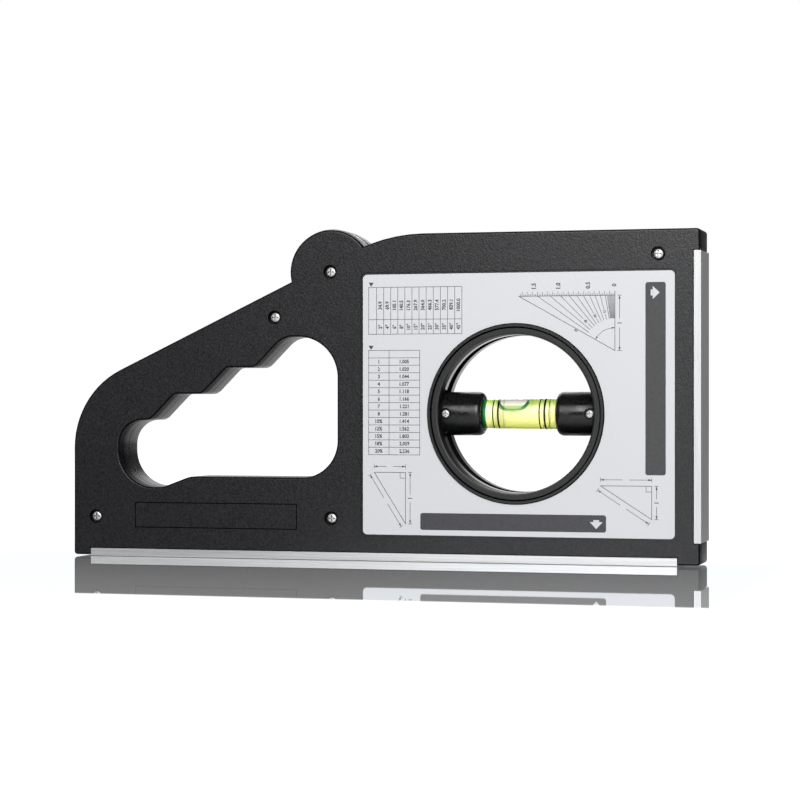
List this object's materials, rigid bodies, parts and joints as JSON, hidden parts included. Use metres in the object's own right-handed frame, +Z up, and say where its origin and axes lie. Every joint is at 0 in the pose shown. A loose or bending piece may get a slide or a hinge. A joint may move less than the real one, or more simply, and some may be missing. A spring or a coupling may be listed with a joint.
{
  "type": "inclinometer",
  "caption": "Hand slope gauge with a stepped finger-grip hole, levelling vial in a geared turning ring, adjusting wheel, metal base and side rails and a printed table face.",
  "frame": {"origin": "under the middle of the instrument's box, on the plane of the base rail's underside", "axes": "+X along the instrument from the handle to the side rail, -Y towards the printed table side, +Z up when it stands on its base rail"},
  "size_m": [0.329, 0.0296, 0.168],
  "materials": {
    "housing": "fine-textured black moulded plastic",
    "rail": "satin, extruded",
    "label": "silver-grey printed film",
    "window": "clear acrylic",
    "pointer": "red enamel",
    "screw": "bright plated steel",
    "ring": "satin black moulded plastic",
    "dial": "white moulded plastic with a printed scale",
    "vial": "clear acrylic",
    "liquid": "yellow-green liquid",
    "plug": "dark green",
    "mark": "printed black",
    "wheel": "turned and satin anodised",
    "gear": "natural moulded gear plastic",
    "sleeve": "turned",
    "pin": "bright"
  },
  "bodies": {
    "frame": {"rear_housing": "housing", "front_housing": "housing", "base_rail": "rail", "side_rail": "rail", "table_label": "label", "front_plate": "label", "dial_window": "window", "index_pointer": "pointer", "case_screws": "screw", "wheel_sleeve": "sleeve", "wheel_washers": "pin", "idler_pin": "pin", "idler_clip": "pin"},
    "ring": {"ring_rear": "ring", "ring_front": "ring", "toothed_dial": "dial", "dial_screws": "screw", "ring_screws": "screw", "vial_tube": "vial", "vial_liquid": "liquid", "vial_plugs": "plug", "vial_rings": "mark"},
    "wheel": {"adjusting_wheel": "wheel", "wheel_pinion": "gear"},
    "idler": {"idler_gear": "gear"}
  },
  "joints": [
    {"name": "ring_turn", "type": "hinge", "parent": "frame", "child": "ring", "pos_m": [0.07182, 0, 0.07425], "axis": [0, 1, 0], "continuous": true},
    {"name": "wheel_turn", "type": "hinge", "parent": "frame", "child": "wheel", "pos_m": [-0.02417, 0, 0.14615], "axis": [0, 1, 0], "continuous": true},
    {"name": "idler_turn", "type": "hinge", "parent": "frame", "child": "idler", "pos_m": [0.00543, 0, 0.12398], "axis": [0, 1, 0], "continuous": true}
  ],
  "couplings": [
    {"joint": "wheel_turn", "follows": "ring_turn", "ratio": 3.875},
    {"joint": "idler_turn", "follows": "ring_turn", "ratio": -2.9524}
  ]
}
